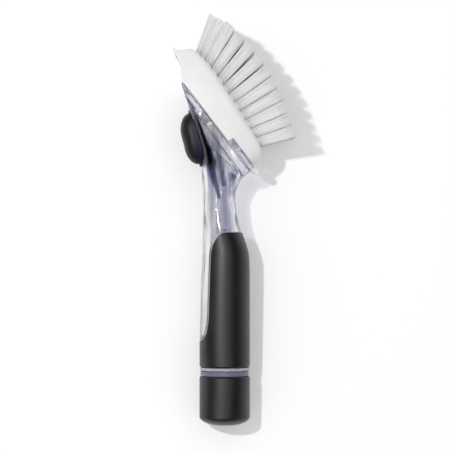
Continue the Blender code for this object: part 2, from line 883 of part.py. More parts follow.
def build_head(head_axis, materials):
    """The white head: shell with scraper, spout and tab anchor, hollowed below and pocketed for the bed."""
    head = add_piece("brush_head", head_solid(), head_axis, materials["white"])
    combine(head, add_piece("head_hollow", hollow_solid(), head_axis), "DIFFERENCE")
    pocket = plan_prism(bed_outline(0, len(tuft_counts) - 1, fit_gap), pocket_floor, cutter_reach)
    combine(head, add_piece("bed_pocket", pocket, head_axis), "DIFFERENCE")
    place = (column_place(outlet_column), 0.0, 0.0)
    spout_low = fit_gap + washer_thickness + fit_gap
    anchor_top = head_ceiling + plate_thickness / 2
    spout = turned(((spout_radius, spout_low), (spout_radius, anchor_top)), small_sides)
    combine(head, add_piece("spout_tube", spout, head_axis, None, place), "UNION")
    anchor_low = (anchor_start, anchor_clearance, -tab_half_width)
    anchor_high = (anchor_start + anchor_thickness, anchor_top, tab_half_width)
    combine(head, add_piece("tab_anchor", box(anchor_low, anchor_high), head_axis), "UNION")
    spout_bore = add_piece("spout_bore", outlet_cutter(), head_axis, None, place)
    combine(head, spout_bore, "DIFFERENCE")
    notch_start = rail_start - fit_gap
    notch_top = rail_height + fit_gap
    for side, name in ((1, "notch_left"), (-1, "notch_right")):
        edges = sorted((side * (rail_slot_half - fit_gap), side * cutter_reach))
        notch = box((notch_start, -overrun, edges[0]), (head_length, notch_top, edges[1]))
        combine(head, add_piece(name, notch, head_axis), "DIFFERENCE")
    opening_half = rail_slot_half - fit_gap
    opening = box((opening_start, -overrun, -opening_half), (head_length, opening_height, opening_half))
    combine(head, add_piece("tab_opening", opening, head_axis), "DIFFERENCE")
    washer = (
        (spout_radius, fit_gap),
        (spout_radius, fit_gap + washer_thickness),
        (outlet_bore, fit_gap + washer_thickness),
        (outlet_bore, fit_gap),
    )
    washer_solid = turned(washer, small_sides, closed=True)
    add_piece("spout_washer", washer_solid, head_axis, materials["silicone"], place)
    for number, columns in enumerate(slice_columns(), 1):
        block = add_piece(f"bristle_block_{number}", slice_solid(columns), head_axis, materials["nylon"])
        strands = add_piece(f"strands_{number}", strands_solid(columns), head_axis)
        combine(block, strands, "UNION")
        if outlet_column in columns:
            block_bore = add_piece("block_bore", outlet_cutter(), head_axis, None, place)
            combine(block, block_bore, "DIFFERENCE")


def outlet_cutter():
    """The soap's way up through the head."""
    return turned(((outlet_bore, -overrun), (outlet_bore, cutter_reach)), small_sides)


def outer_tip(column):
    """The lowest strand tip of a column, on the side that the brush lies on."""
    return strand_ends(tufts_of(column)[0], 0)[1]


def upward_normal(rim, near, far):
    """The direction up from the plane through three points."""
    normal = (near - rim).cross(far - rim).normalized()
    return normal if normal.z > 0 else -normal


def rest_turn():
    """The turn that lays the brush on the cap's rim and two bristle tips, its weight between and no tip below."""
    rim = Vector((0.0, cap_dome_height, -cap_radius))
    tips = []
    for column in range(len(tuft_counts)):
        tip = outer_tip(column)
        place = platform_point(tip.x, tip.y)
        tips.append(Vector((place.x, place.y, tip.z)))
    left = [tip for tip in tips if tip.x <= 0.0]
    right = [tip for tip in tips if tip.x > 0.0]
    normals = [upward_normal(rim, near, far) for near in left for far in right]
    normal = max(normals, key=lambda up: min((tip - rim).dot(up) for tip in tips))
    return normal.rotation_difference(Vector((0.0, 0.0, 1.0)))


def rest_on_plane(brush):
    """Move the brush so that it stands on z = 0 with its box centred over the origin."""
    bpy.context.view_layer.update()
    graph = bpy.context.evaluated_depsgraph_get()
    points = []
    for piece in bpy.data.objects:
        if piece.type != "MESH" or piece.hide_render:
            continue
        mesh = piece.evaluated_get(graph).to_mesh()
        points += [piece.matrix_world @ corner.co for corner in mesh.vertices]
        piece.evaluated_get(graph).to_mesh_clear()
    low = [min(point[i] for point in points) for i in range(3)]
    high = [max(point[i] for point in points) for i in range(3)]
    brush.location -= Vector(((low[0] + high[0]) / 2, (low[1] + high[1]) / 2, low[2]))
    bpy.context.view_layer.update()


def build_brush():
    """Build every piece under the empties that carry it."""
    clear_scene()
    materials = {
        "clear": plastic("clear_violet_copolyester", (0.62, 0.62, 0.74), 0.05, 1.0),
        "gasket": plastic("grey_violet_elastomer", (0.24, 0.24, 0.33), 0.35),
        "grip": plastic("black_soft_elastomer", (0.022, 0.022, 0.024), 0.6),
        "button": plastic("black_silicone", (0.03, 0.03, 0.028), 0.45),
        "frame": plastic("black_polypropylene", (0.02, 0.02, 0.03), 0.4),
        "white": plastic("white_polypropylene", (0.87, 0.87, 0.87), 0.35),
        "nylon": plastic("white_nylon", (0.91, 0.91, 0.91), 0.4),
        "silicone": plastic("translucent_silicone", (0.7, 0.7, 0.72), 0.4),
    }
    brush = frame_empty("brush", None, (0.0, 0.0, 0.0))
    brush.rotation_mode = "QUATERNION"
    brush.rotation_quaternion = rest_turn()
    platform = frame_empty("platform", brush, (toe_x, toe_y, 0.0), turn_of_platform())
    waist_back, spine, outward = spine_line()
    seat_place = waist_back + spine * button_place_share - outward.normalized() * button_sink
    seat_turn = math.atan2(spine.y, spine.x) + math.radians(button_lean)
    seat = frame_empty("button_seat", brush, (seat_place.x, seat_place.y, 0.0), seat_turn)
    head_axis = frame_empty("head_slide", platform, (0.0, 0.0, 0.0))
    tab_place = (anchor_start + anchor_thickness + fit_gap, tab_floor + tab_thickness / 2, 0.0)
    tab_axis = frame_empty("tab_hinge", head_axis, tab_place)
    build_handle(brush, platform, seat, materials)
    build_button(frame_empty("button_slide", seat, (0.0, 0.0, 0.0)), materials)
    gasket_axis = frame_empty("cap_advance", brush, (0.0, 0.0, 0.0))
    build_cap(frame_empty("cap_turn", gasket_axis, (0.0, 0.0, 0.0)), gasket_axis, materials)
    build_head(head_axis, materials)
    add_piece("release_tab", tab_solid(), tab_axis, materials["white"], (0.0, -tab_place[1], 0.0))
    rest_on_plane(brush)


build_brush()
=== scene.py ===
"""Looks of a soap-dispensing scrub brush, laid out as a Blender add-on and run as a script."""

import json
import math

import bpy
import numpy as np
from mathutils import Matrix, Vector


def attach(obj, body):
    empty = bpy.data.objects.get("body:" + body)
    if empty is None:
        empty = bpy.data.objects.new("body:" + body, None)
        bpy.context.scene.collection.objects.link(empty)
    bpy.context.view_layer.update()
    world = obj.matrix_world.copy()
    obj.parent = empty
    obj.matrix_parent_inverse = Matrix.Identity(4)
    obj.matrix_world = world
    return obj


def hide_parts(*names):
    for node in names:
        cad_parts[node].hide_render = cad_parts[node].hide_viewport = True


bl_info = {
    "name": "Scrub Brush Looks",
    "version": (1, 0, 0),
    "blender": (4, 5, 0),
    "location": "View3D > Sidebar > Scrub Brush",
    "description": "Dresses the scrub brush: clear handle, soft grip, white head and nylon tufts",
    "category": "Object",
}

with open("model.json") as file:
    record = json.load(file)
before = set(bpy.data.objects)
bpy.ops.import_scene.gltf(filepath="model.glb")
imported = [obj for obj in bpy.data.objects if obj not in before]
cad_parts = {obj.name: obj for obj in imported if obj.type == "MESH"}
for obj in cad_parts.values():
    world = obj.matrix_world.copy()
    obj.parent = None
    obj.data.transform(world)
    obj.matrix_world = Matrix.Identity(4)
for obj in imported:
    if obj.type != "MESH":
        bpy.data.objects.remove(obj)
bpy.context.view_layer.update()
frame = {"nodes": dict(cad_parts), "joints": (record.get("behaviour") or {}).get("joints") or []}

mm = 0.001
plain_white = (1.0, 1.0, 1.0, 1.0)
joints = {joint["name"]: joint for joint in frame["joints"]}

# How the scene's own pieces are merged, rounded and shaded
merge_distance = 0.01 * mm
round_segments = 3
round_degrees = 38
smooth_degrees = 50

# Tufts in each column across the head, how far the column leans to the heel, and its width, length and flare
tuft_counts = (4, 5, 6, 6, 6, 6, 6, 6, 6, 6, 5, 4)
lean_degrees = (-31.5, -27.2, -23.8, -18.6, -11.4, -4.8, 0.1, 4.0, 8.5, 12.6, 16.6, 21.4)
width_shares = (0.63, 0.63, 1.0, 1.0, 1.0, 1.0, 1.0, 1.0, 1.0, 1.0, 1.0, 1.0)
length_shares = (0.84, 0.885, 0.96, 0.975, 0.985, 0.99, 0.975, 0.955, 0.915, 0.86, 0.82, 0.775)
flare_shares = (1.0, 1.0, 1.0, 1.0, 1.0, 1.0, 1.0, 1.0, 1.0, 0.99, 0.97, 0.93)
slice_counts = (2, 2, 2, 1, 2, 2, 1)

# Head: place along it, height of its face and half width, as shares of its length, height and half width
head_rows = (
    (0.105, 0.92, 0.62),
    (0.161, 0.96, 0.725),
    (0.202, 0.975, 0.79),
    (0.233, 0.985, 0.833),
    (0.321, 0.99, 0.914),
    (0.452, 0.96, 0.974),
    (0.594, 0.91, 1.0),
    (0.758, 0.835, 0.983),
    (0.889, 0.80, 0.91),
    (0.939, 0.75, 0.83),
)
head_length = 91.4 * mm
head_overhang = 21.3 * mm
head_height = 20.0 * mm
head_half_width = 23.3 * mm
head_rim = 4.6 * mm
bed_toe_margin = 11.37 * mm
bed_heel_margin = 6.45 * mm
bed_rise = 0.6 * mm
bed_depth = 2.0 * mm
bed_edge_radius = 0.35 * mm
bed_steps_along = 12
bed_steps_across = 24
scallop_depth = 1.2 * mm
mound_height = 0.4 * mm
tuft_margin = 1.8 * mm
tuft_width_share = 1.25
bristle_length = 29.7 * mm
tip_half_width = 29.0 * mm
splay_across = 3.4 * mm

# Strands: the thick ones in a tuft's core, then how all of them are rooted, opened, tapered and scattered
core_strands = 9
core_fill = 0.55
core_strand_diameter = 2.0 * mm
core_shortfall = 13.0 * mm
root_depth = 0.6 * mm
root_share_across = 0.85
tip_share_across = 0.92
tip_corner_power = 0.85
tip_taper_share = 0.15
tip_scatter = 0.16 * mm
trim_scatter = 0.3 * mm
strand_bow = 0.12 * mm
strand_joint_share = 0.17

# The hinge of the tab, along and up in the head's frame
tab_hinge_place = (56.6 * mm, 1.9 * mm)

# Zones of the clear handle, in the brush's frame: runs with the zone on their right, and how soft they are
# The zone round the button's well carries the painted refraction of the button's dark frame
painted_refraction_edges = (
    ((-15.4 * mm, 167.8 * mm), (-23.1 * mm, 206.1 * mm), 0.8 * mm),
    ((-19.2 * mm, 206.0 * mm), (-6.5 * mm, 171.7 * mm), 1.2 * mm),
    ((0.0, 168.0 * mm), (-30.0 * mm, 166.0 * mm), 3.0 * mm),
)
wedge_edge = ((10.0 * mm, 150.0 * mm), (-10.0 * mm, 150.0 * mm), 20.0 * mm)
window_end_edge = ((-20.0 * mm, 82.0 * mm), (20.0 * mm, 82.0 * mm), 14.0 * mm)
window_end_haze = 0.08

# The edge of the flange's zone of painted reflections, in the head's frame
painted_flange_edge = ((10.0 * mm, -3.2 * mm), (0.0, -3.2 * mm), 0.4 * mm)

# Painted reflections of the clear handle's hollows, dark and pale: two tones, then corners clockwise in the
# brush's frame, in mm
painted_reflection_softness = 0.7 * mm
painted_hollow_reflections = (
    ("#5c5a80", "#908eae", ((-13.4, 171.7), (-8.2, 173.7), (-2.4, 145.8), (-4.3, 147.7))),
    ("#7c7e9c", "#b8bace", ((-8.2, 192.5), (-4.3, 189.2), (0.8, 154.9), (-1.7, 154.9))),
    ("#ececf4", "#ffffff", ((-3.7, 188.6), (9.9, 169.8), (5.4, 155.5), (1.5, 154.9))),
    ("#c8cad6", "#e6e7ee", ((-2.4, 151.0), (0.2, 151.0), (7.3, 124.4), (-5.6, 124.4))),
    ("#6f6d90", "#a9a7c0", ((4.1, 164.0), (8.0, 161.4), (7.3, 149.0), (5.4, 148.4))),
)

# The frosted band of the collar: from here to there up the brush, and beyond a radius
collar_band = (35.0 * mm, 38.0 * mm)
collar_radius = 14.9 * mm

# Thread of the neck: one ridge that stays clear of the bore of the cap
thread_radius = 11.97 * mm
thread_start = 21.4 * mm
thread_pitch = 6.0 * mm
thread_turns = 1.5
thread_height = 0.23 * mm
thread_foot = 1.9 * mm
thread_crest = 0.8 * mm
thread_end_share = 0.1
thread_rise_rate = 6.0
thread_steps = 144

# Picture: its side in pixels, and the pixels of its middle and of the end of the cap
picture_side = 452
middle_pixel = (226.0, 226.0)
cap_end_pixel = (224.7, 425.0)

# Light: the world's and the floor's share, the key lamp, and what gloss shows of the room from low to high
soft_strength = 0.56
floor_glow = 0.195
key_towards = (-0.42, 0.18, 1.0)
key_distance = 1.5
key_size = 0.06
key_power = 8.7
ceiling_towards = (-0.22, 0.05, 1.0)
room_tones = ((0.02, "#d8d8e0"), (0.12, "#26262f"), (0.72, "#2a2a33"), (0.84, "#ffffff"))


class ScrubBrushSizes(bpy.types.PropertyGroup):
    """Sizes of the fine surface that a user may change."""

    filaments_per_tuft: bpy.props.IntProperty(
        name="Filaments per tuft", description="Nylon filaments in each tuft", default=150, min=8, max=180
    )
    filament_diameter: bpy.props.FloatProperty(
        name="Filament diameter", description="Drawn a little coarse, so that single filaments show",
        default=0.34 * mm, unit="LENGTH",
    )
    tuft_radius: bpy.props.FloatProperty(
        name="Tuft radius", description="Radius of a tuft where it leaves the bed", default=3.15 * mm,
        unit="LENGTH",
    )
    splay_along: bpy.props.FloatProperty(
        name="Splay along", description="How far a tuft opens along the head at its tips", default=3.7 * mm,
        unit="LENGTH",
    )
    camera_distance: bpy.props.FloatProperty(
        name="Camera distance", description="From the camera down to the axis of the cap", default=1.6,
        unit="LENGTH",
    )
    photo_scale: bpy.props.FloatProperty(
        name="Photo scale", description="Real length that one pixel of the photo covers", default=0.648 * mm,
        unit="LENGTH",
    )


class ScrubBrushColours(bpy.types.PropertyGroup):
    """Colours that a user may change, as sRGB hex values."""

    clear_tint: bpy.props.StringProperty(
        name="Clear tint", description="Violet cast of the handle", default="#f2f2f6"
    )
    elastomer: bpy.props.StringProperty(
        name="Elastomer", description="Black of grip and cap", default="#0b0b0d"
    )
    button_rubber: bpy.props.StringProperty(
        name="Button", description="Black of the button", default="#121213"
    )
    head_white: bpy.props.StringProperty(
        name="Head", description="White of the head", default="#efefef"
    )
    nylon_white: bpy.props.StringProperty(
        name="Nylon", description="White of the tufts", default="#fdfdfd"
    )
    gasket_grey: bpy.props.StringProperty(
        name="Gasket", description="Grey violet ring", default="#82829f"
    )
    floor_white: bpy.props.StringProperty(
        name="Floor", description="Pale floor", default="#f7f7f7"
    )


def sizes():
    """The sizes in the scene."""
    return bpy.context.scene.scrub_brush_sizes


def colours():
    """The colours in the scene."""
    return bpy.context.scene.scrub_brush_colours


def linear(colour):
    """An sRGB hex value as linear red, green, blue and full alpha."""
    values = []
    for i in (1, 3, 5):
        value = int(colour[i : i + 2], 16) / 255
        values.append(value / 12.92 if value <= 0.04045 else ((value + 0.055) / 1.055) ** 2.4)
    return (*values, 1.0)


def add_node(tree, kind, settings=(), **links):
    """Add a node, set its values and properties by name, and link sockets of other nodes into it."""
    node = tree.nodes.new(kind)
    for name, value in dict(settings).items():
        if name in node.inputs:
            node.inputs[name].default_value = value
        else:
            setattr(node, name, value)
    for name, socket in links.items():
        tree.links.new(socket, node.inputs[name.replace("_", " ")])
    return node


def blank_material(name):
    """A material with an empty tree and its output."""
    material = bpy.data.materials.new(name)
    material.use_nodes = True
    tree = material.node_tree
    tree.nodes.clear()
    return material, tree, tree.nodes.new("ShaderNodeOutputMaterial")


def grain(tree, size, detail=3.0, roughness=0.5):
    """Noise on object coordinates whose spots are about this size, in metres."""
    place = add_node(tree, "ShaderNodeTexCoord")
    return add_node(
        tree,
        "ShaderNodeTexNoise",
        {"Scale": 1 / size, "Detail": detail, "Roughness": roughness},
        Vector=place.outputs["Object"],
    )


def spread(tree, source, low, high):
    """A noise value stretched between two values."""
    settings = {"From Min": 0.3, "From Max": 0.7, "To Min": low, "To Max": high}
    return add_node(tree, "ShaderNodeMapRange", settings, Value=source).outputs["Result"]


def two_tones(tree, source, first, second):
    """A colour between two hex values, by a noise value."""
    node = add_node(tree, "ShaderNodeValToRGB")
    node.color_ramp.elements[0].position = 0.35
    node.color_ramp.elements[0].color = linear(first)
    node.color_ramp.elements[1].position = 0.65
    node.color_ramp.elements[1].color = linear(second)
    tree.links.new(source, node.inputs["Fac"])
    return node.outputs["Color"]


def bumped(tree, height, strength, distance, under=None):
    """Normals roughened by a noise value, over those of a coarser bump where there is one."""
    bump = add_node(tree, "ShaderNodeBump", {"Strength": strength, "Distance": distance}, Height=height)
    if under is not None:
        tree.links.new(under, bump.inputs["Normal"])
    return bump.outputs["Normal"]


def let_through(tree, surface, tint, output):
    """Mix a surface with one that passes light on, in this tint, for the rays that look for a lamp."""
    passing = add_node(tree, "ShaderNodeBsdfTransparent", {"Color": linear(tint)})
    path = add_node(tree, "ShaderNodeLightPath")
    mix = add_node(tree, "ShaderNodeMixShader")
    tree.links.new(path.outputs["Is Shadow Ray"], mix.inputs[0])
    tree.links.new(surface.outputs[0], mix.inputs[1])
    tree.links.new(passing.outputs[0], mix.inputs[2])
    tree.links.new(mix.outputs[0], output.inputs["Surface"])


def toned(colour, factor):
    """A hex value made lighter or darker."""
    values = [min(255, max(0, round(int(colour[i : i + 2], 16) * factor))) for i in (1, 3, 5)]
    return "#%02x%02x%02x" % tuple(values)


def turned(tree, matrix, stretch=(1.0, 1.0, 1.0)):
    """Object coordinates read in a frame of the brush, stretched along its axes."""
    place = add_node(tree, "ShaderNodeTexCoord")
    settings = {
        "vector_type": "TEXTURE",
        "Location": matrix.translation,
        "Rotation": matrix.to_euler(),
        "Scale": stretch,
    }
    return add_node(tree, "ShaderNodeMapping", settings, Vector=place.outputs["Object"]).outputs["Vector"]


def past_line(tree, place, first, second, soft):
    """Zero to one across a line through two points of a frame's first two axes, on the right of its run."""
    run = Vector(second) - Vector(first)
    normal = Vector((run.y, -run.x, 0.0)).normalized()
    away = add_node(tree, "ShaderNodeVectorMath", {"operation": "DOT_PRODUCT"})
    away.inputs[1].default_value = normal
    tree.links.new(place, away.inputs[0])
    edge = normal.dot(Vector((*first, 0.0)))
    settings = {"interpolation_type": "SMOOTHSTEP", "From Min": edge - soft, "From Max": edge + soft}
    return add_node(tree, "ShaderNodeMapRange", settings, Value=away.outputs["Value"]).outputs["Result"]


def within(tree, *shares):
    """The product of several zero to one values."""
    result = shares[0]
    for share in shares[1:]:
        both = add_node(tree, "ShaderNodeMath", {"operation": "MULTIPLY"})
        tree.links.new(result, both.inputs[0])
        tree.links.new(share, both.inputs[1])
        result = both.outputs[0]
    return result


def mixed(tree, share, first, second):
    """One colour turned into another by a zero to one value."""
    mix = add_node(tree, "ShaderNodeMix", {"data_type": "RGBA"})
    tree.links.new(share, mix.inputs["Factor"])
    tree.links.new(first, next(item for item in mix.inputs if item.identifier == "A_Color"))
    tree.links.new(second, next(item for item in mix.inputs if item.identifier == "B_Color"))
    return next(item for item in mix.outputs if item.identifier == "Result_Color")


def stretched_grain(tree, matrix, stretch, detail):
    """Noise whose spots have these lengths along the axes of a frame of the brush."""
    return add_node(
        tree,
        "ShaderNodeTexNoise",
        {"Scale": 1.0, "Detail": detail},
        Vector=turned(tree, matrix, stretch),
    ).outputs["Fac"]


def clear_copolyester():
    """Injection-moulded copolyester: polished, pale in thin walls, violet in thick ones, with flow lines, and
    painted reflections of its hollows, of the button's frame and in its flange.
    """
    material, tree, output = blank_material("clear_copolyester_moulded")
    brush, platform = brush_frame(), platform_frame()
    # Flow lines of the moulding run up the handle, some 2 mm apart, and shorter ones cross the thick flange,
    # where they also mottle its painted reflections
    lines = stretched_grain(tree, brush, (2.2 * mm, 60 * mm, 2.6 * mm), 1.0)
    flecks = stretched_grain(tree, platform, (2.4 * mm, 0.7 * mm, 5 * mm), 3.0)
    normal = bumped(tree, flecks, 0.5, 0.1 * mm, under=bumped(tree, lines, 1.0, 0.2 * mm))
    place = turned(tree, brush)
    # Painted refraction: round its well the tint is painted dark violet, as the button's dark frame shows
    # through the thick plastic
    well = within(tree, *(past_line(tree, place, *edge) for edge in painted_refraction_edges))
    wedge = past_line(tree, place, *wedge_edge)
    painted_flange_zone = past_line(tree, turned(tree, platform), *painted_flange_edge)
    # The end of the window is moulded a little hazy
    end = past_line(tree, place, *window_end_edge)
    polish = spread(tree, grain(tree, 4 * mm).outputs["Fac"], 0.06, 0.11)
    roughness = add_node(tree, "ShaderNodeMath", {"operation": "MULTIPLY_ADD"})
    roughness.inputs[1].default_value = window_end_haze
    tree.links.new(end, roughness.inputs[0])
    tree.links.new(polish, roughness.inputs[2])
    tint = colours().clear_tint
    walls = two_tones(tree, lines, toned(tint, 0.88), toned(tint, 1.01))
    thick = two_tones(tree, lines, "#bcbad2", toned(tint, 1.05))
    painted_frame_refraction = two_tones(tree, lines, "#33305a", "#65639a")
    # Painted reflections in the flange: a pale, mottled band, as the bristles and parts behind it show in the
    # thick plastic
    band = two_tones(tree, flecks, "#cecddb", "#ffffff")
    colour = mixed(tree, wedge, walls, thick)
    # Painted reflections of the hollows: dark streaks and a pale gleam over the plastic's tint
    for dark, light, corners in painted_hollow_reflections:
        edges = zip(corners, corners[1:] + corners[:1])
        sides = [past_line(tree, place, Vector(a) * mm, Vector(b) * mm, painted_reflection_softness) for a, b in edges]
        colour = mixed(tree, within(tree, *sides), colour, two_tones(tree, lines, dark, light))
    colour = mixed(tree, well, colour, painted_frame_refraction)
    colour = mixed(tree, painted_flange_zone, colour, band)
    glass = add_node(
        tree,
        "ShaderNodeBsdfPrincipled",
        {"IOR": 1.57, "Transmission Weight": 1.0, "Specular IOR Level": 0.5},
        Base_Color=colour,
        Roughness=roughness.outputs[0],
        Normal=normal,
    )
    # Lamps shine through the thin walls, so that what lies behind them is lit
    let_through(tree, glass, "#c6c6cc", output)
    return material


def frosted_copolyester():
    """The collar's band of the same moulding, with a frosted grain from the mould that scatters the light."""
    material, tree, output = blank_material("clear_copolyester_frosted")
    lines = stretched_grain(tree, brush_frame(), (3 * mm, 0.8 * mm, 3 * mm), 2.0)
    surface = add_node(
        tree,
        "ShaderNodeBsdfPrincipled",
        {"IOR": 1.57, "Transmission Weight": 0.5, "Specular IOR Level": 0.5},
        Base_Color=two_tones(tree, lines, "#c9c8d2", "#eeeef4"),
        Roughness=spread(tree, lines, 0.25, 0.4),
        Normal=bumped(tree, lines, 0.3, 0.05 * mm),
    )
    let_through(tree, surface, "#d6d6da", output)
    return material


def moulded_elastomer(name, colour, roughness, shine, grit):
    """Plastic or rubber from a spark-eroded mould: dark and matt, with a fine grit that dulls its gloss."""
    material, tree, output = blank_material(name)
    fine = grain(tree, grit, 2.0)
    cloud = grain(tree, 14 * mm)
    surface = add_node(
        tree,
        "ShaderNodeBsdfPrincipled",
        {"IOR": 1.5, "Specular IOR Level": shine, "Sheen Weight": 0.1, "Sheen Roughness": 0.35},
        Base_Color=two_tones(tree, cloud.outputs["Fac"], toned(colour, 0.95), toned(colour, 1.08)),
        Roughness=spread(tree, cloud.outputs["Fac"], roughness - 0.03, roughness + 0.03),
        Normal=bumped(tree, fine.outputs["Fac"], 0.22, 0.05 * mm),
    )
    tree.links.new(surface.outputs[0], output.inputs["Surface"])
    return material


def white_polypropylene():
    """Moulded polypropylene: milky white that lets a little light in, satin, with a fine even mould grain."""
    material, tree, output = blank_material("white_polypropylene_moulded")
    fine = grain(tree, 0.5 * mm, 2.0)
    cloud = grain(tree, 18 * mm)
    white = colours().head_white
    surface = add_node(
        tree,
        "ShaderNodeBsdfPrincipled",
        {
            "IOR": 1.49,
            "Specular IOR Level": 0.3,
            "Subsurface Weight": 0.15,
            "Subsurface Scale": 1 * mm,
            "Subsurface Radius": (1, 1, 1),
        },
        Base_Color=two_tones(tree, cloud.outputs["Fac"], toned(white, 0.99), toned(white, 1.005)),
        Roughness=spread(tree, cloud.outputs["Fac"], 0.36, 0.44),
        Normal=bumped(tree, fine.outputs["Fac"], 0.08, 0.04 * mm),
    )
    tree.links.new(surface.outputs[0], output.inputs["Surface"])
    return material


def nylon_filament():
    """Extruded nylon filament: white, with painted shade towards the root, each strand with its own tone."""
    material, tree, output = blank_material("nylon_filament_extruded")
    reach = add_node(tree, "ShaderNodeAttribute", {"attribute_name": "reach"})
    tone = add_node(tree, "ShaderNodeAttribute", {"attribute_name": "tone"})
    white = colours().nylon_white
    strand = two_tones(tree, tone.outputs["Fac"], toned(white, 0.965), white)
    # Painted shade: the filaments darken towards the root, where the tuft and bed shade them
    root = add_node(tree, "ShaderNodeMapRange", {"From Max": 0.35, "To Min": 0.96, "To Max": 1.0})
    tree.links.new(reach.outputs["Fac"], root.inputs["Value"])
    shade = add_node(tree, "ShaderNodeMix", {"data_type": "RGBA", "blend_type": "MULTIPLY"})
    shade.inputs["Factor"].default_value = 1.0
    tree.links.new(strand, shade.inputs["A"])
    tree.links.new(root.outputs["Result"], shade.inputs["B"])
    surface = add_node(
        tree,
        "ShaderNodeBsdfPrincipled",
        {
            "IOR": 1.53,
            "Roughness": 0.45,
            "Specular IOR Level": 0.7,
            "Sheen Weight": 0.8,
            "Sheen Roughness": 0.6,
        },
        Base_Color=shade.outputs["Result"],
    )
    # Light filters on through the filaments, so that a tuft is bright all through
    let_through(tree, surface, "#fafafa", output)
    return material


def translucent_elastomer(name, colour, clearness):
    """Cast translucent elastomer: soft light passes, with a dull skin and small clouds."""
    material, tree, output = blank_material(name)
    cloud = grain(tree, 5 * mm)
    surface = add_node(
        tree,
        "ShaderNodeBsdfPrincipled",
        {"IOR": 1.45, "Transmission Weight": clearness, "Specular IOR Level": 0.5},
        Base_Color=two_tones(tree, cloud.outputs["Fac"], toned(colour, 0.96), toned(colour, 1.04)),
        Roughness=spread(tree, cloud.outputs["Fac"], 0.25, 0.35),
    )
    tree.links.new(surface.outputs[0], output.inputs["Surface"])
    return material


def select_only(piece):
    """Make one object the only one selected, and active."""
    bpy.ops.object.select_all(action="DESELECT")
    piece.select_set(True)
    bpy.context.view_layer.objects.active = piece


def merged_copy(node, name):
    """A copy of a solid of the frame, with its loose triangles merged into one skin."""
    piece = bpy.data.objects.new(name, frame["nodes"][node].data.copy())
    bpy.context.scene.collection.objects.link(piece)
    piece.data.materials.clear()
    select_only(piece)
    bpy.ops.object.mode_set(mode="EDIT")
    bpy.ops.mesh.select_all(action="SELECT")
    bpy.ops.mesh.remove_doubles(threshold=merge_distance)
    bpy.ops.object.mode_set(mode="OBJECT")
    return piece


def rounded_copy(node, name, edge):
    """A copy of a solid whose edges are rounded as a mould rounds them, and whose faces are shaded smooth."""
    piece = merged_copy(node, name)
    bevel = piece.modifiers.new("mould_radius", "BEVEL")
    bevel.width = edge
    bevel.segments = round_segments
    bevel.limit_method = "ANGLE"
    bevel.angle_limit = math.radians(round_degrees)
    bevel.use_clamp_overlap = False
    bpy.ops.object.modifier_apply(modifier=bevel.name)
    bpy.ops.object.shade_smooth_by_angle(angle=math.radians(smooth_degrees))
    weighted = piece.modifiers.new("even_shading", "WEIGHTED_NORMAL")
    weighted.keep_sharp = True
    bpy.ops.object.modifier_apply(modifier=weighted.name)
    return piece


def finish_piece(piece, material, body, slot, *nodes):
    """Give a piece its material and let it ride on its body in place of its solids."""
    piece.data.materials.clear()
    piece.data.materials.append(material)
    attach(piece, body)
    if nodes:
        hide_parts(*nodes)


def dress_node(node, material):
    """Give a solid of the frame a material."""
    data = frame["nodes"][node].data
    data.materials.clear()
    data.materials.append(material)


def brush_frame():
    """The brush's own frame: X to the bristles, Y up the handle from the end of the cap, Z across."""
    y = -Vector(joints["cap_turn"]["axis"]).normalized()
    z = Vector(joints["tab_lift"]["axis"]).normalized()
    x = y.cross(z).normalized()
    turn = Matrix((x, y, z)).transposed().to_4x4()
    return Matrix.Translation(Vector(joints["cap_turn"]["pos_m"])) @ turn


def platform_frame():
    """The head's frame: X from toe to heel, Y out of the platform towards the bristles, Z across."""
    x = -Vector(joints["head_slide"]["axis"]).normalized()
    z = Vector(joints["tab_lift"]["axis"]).normalized()
    y = z.cross(x).normalized()
    turn = Matrix((x, y, z)).transposed().to_4x4()
    hinge = Vector(joints["tab_lift"]["pos_m"])
    along, up = tab_hinge_place
    return Matrix.Translation(hinge - x * along - y * up) @ turn


def head_row(along):
    """Height of the head's face and its half width at a place along the platform."""
    share = (along + head_overhang) / head_length
    for low, high in zip(head_rows, head_rows[1:]):
        if share <= high[0]:
            break
    t = min(max((share - low[0]) / (high[0] - low[0]), 0.0), 1.0)
    height, half = (a + (b - a) * t for a, b in zip(low[1:], high[1:]))
    return height * head_height, half * head_half_width


def tuft_pitch():
    """Distance from one full column of tufts to the next."""
    return (head_length - bed_toe_margin - bed_heel_margin) / sum(width_shares)


def column_start(column):
    """Place along the platform where a column's strip of the bed begins."""
    return bed_toe_margin - head_overhang + tuft_pitch() * sum(width_shares[:column])


def bed_phase(along):
    """Zero between two columns of tufts, and one in the middle of a column."""
    column = sum(along > column_start(later) for later in range(1, len(tuft_counts)))
    start = column_start(column)
    return abs(math.sin(math.pi * (along - start) / (column_start(column + 1) - start)))


def bed_edge(along):
    """Half width of the bed, scalloped round each column of tufts."""
    return head_row(along)[1] - head_rim + scallop_depth * bed_phase(along)


def tufts():
    """Column, width, base and tip of every tuft in the head's frame, and the direction of its trim."""
    found = []
    for column, count in enumerate(tuft_counts):
        along = (column_start(column) + column_start(column + 1)) / 2
        width = min(1.0, tuft_width_share * width_shares[column])
        lean = math.radians(lean_degrees[column])
        trim = (math.cos(lean / 2), -math.sin(lean / 2), 0.0)
        length = bristle_length * length_shares[column]
        outer = bed_edge(column_start(column)) - tuft_margin
        flare = tip_half_width * flare_shares[column] - splay_across
        for i in range(count):
            place = 2 * i / (count - 1) - 1
            base = np.array((along, head_row(along)[0] + bed_rise, outer * place))
            across = (flare - outer) * place
            tip = base + np.array((length * math.sin(lean), length * math.cos(lean), across))
            found.append((column, width, base, tip, trim))
    return found


